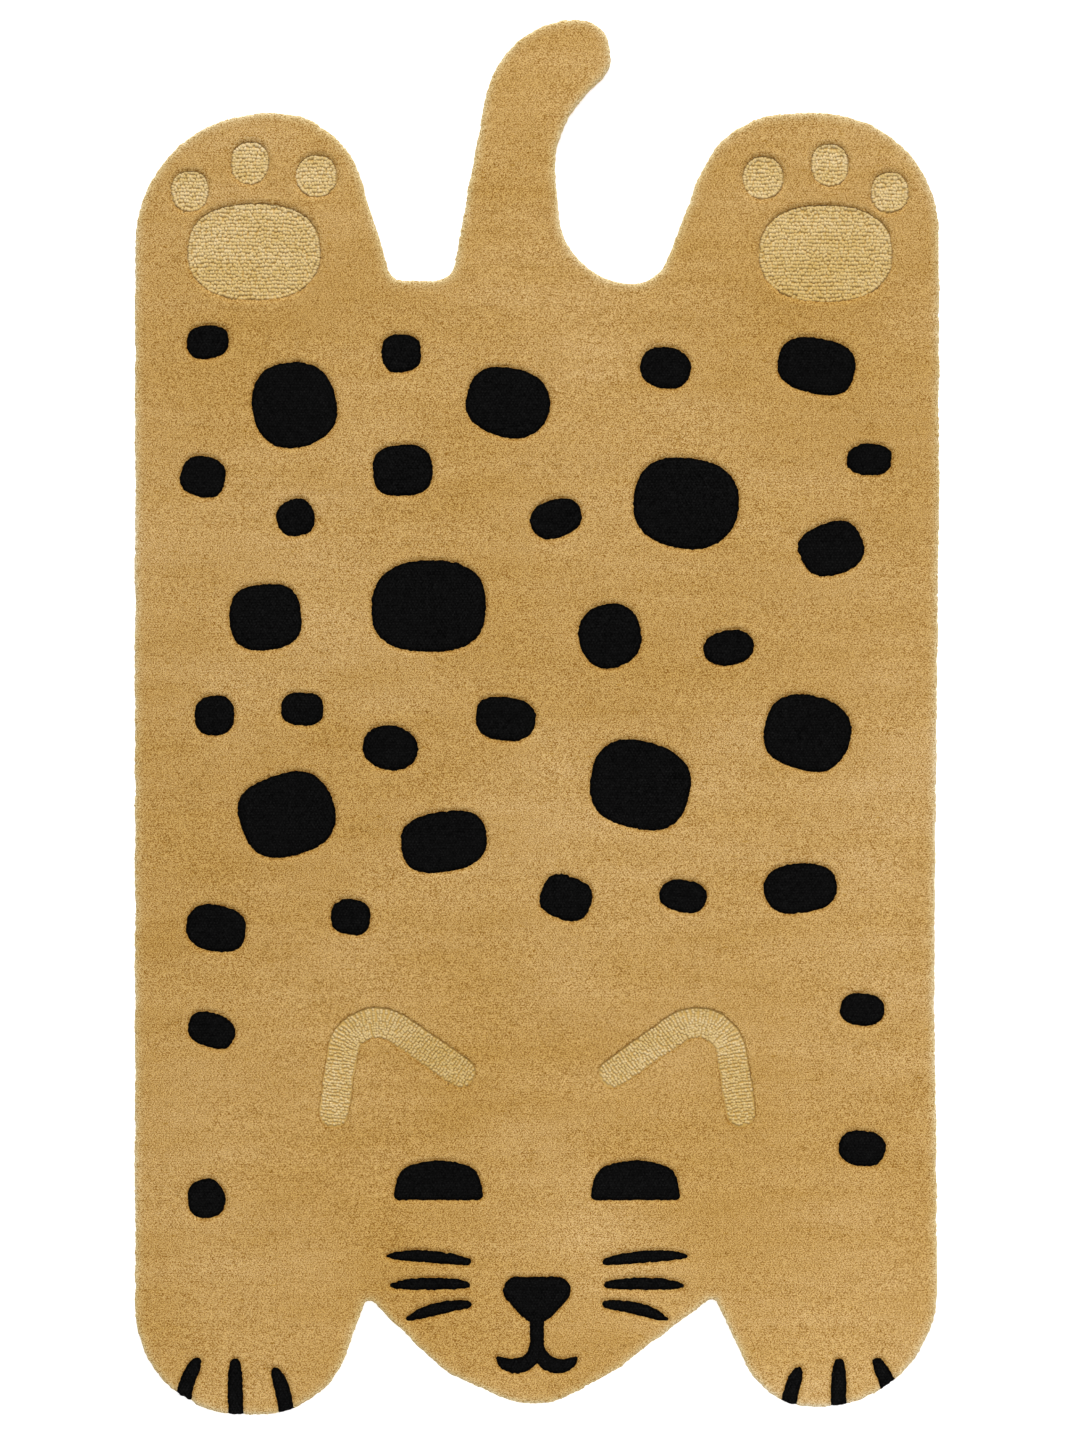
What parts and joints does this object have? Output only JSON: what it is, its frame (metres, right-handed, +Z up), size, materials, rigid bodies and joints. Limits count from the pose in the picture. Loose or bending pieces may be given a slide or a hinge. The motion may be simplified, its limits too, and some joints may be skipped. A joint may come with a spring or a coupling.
{
  "type": "cat shaped rug",
  "caption": "Flat hand-tufted wool pile rug cut to the outline of a cat lying spread out, with a curled tail, sunk paw prints in the hind feet and sunk ear bands.",
  "frame": {"origin": "on the floor under the middle of the rug's box", "axes": "+X to the right with the tail at the far end, +Y along the rug from the chin to the tail, +Z up out of the pile"},
  "size_m": [0.98, 1.7, 0.013],
  "materials": {
    "tan_wool": "cut wool pile, matt",
    "black_wool": "cut wool pile, matt",
    "loop_wool": "loop wool pile in rows",
    "backing_canvas": "plain woven cotton canvas"
  },
  "bodies": {
    "root": {"rug": "tan_wool"}
  },
  "joints": []
}
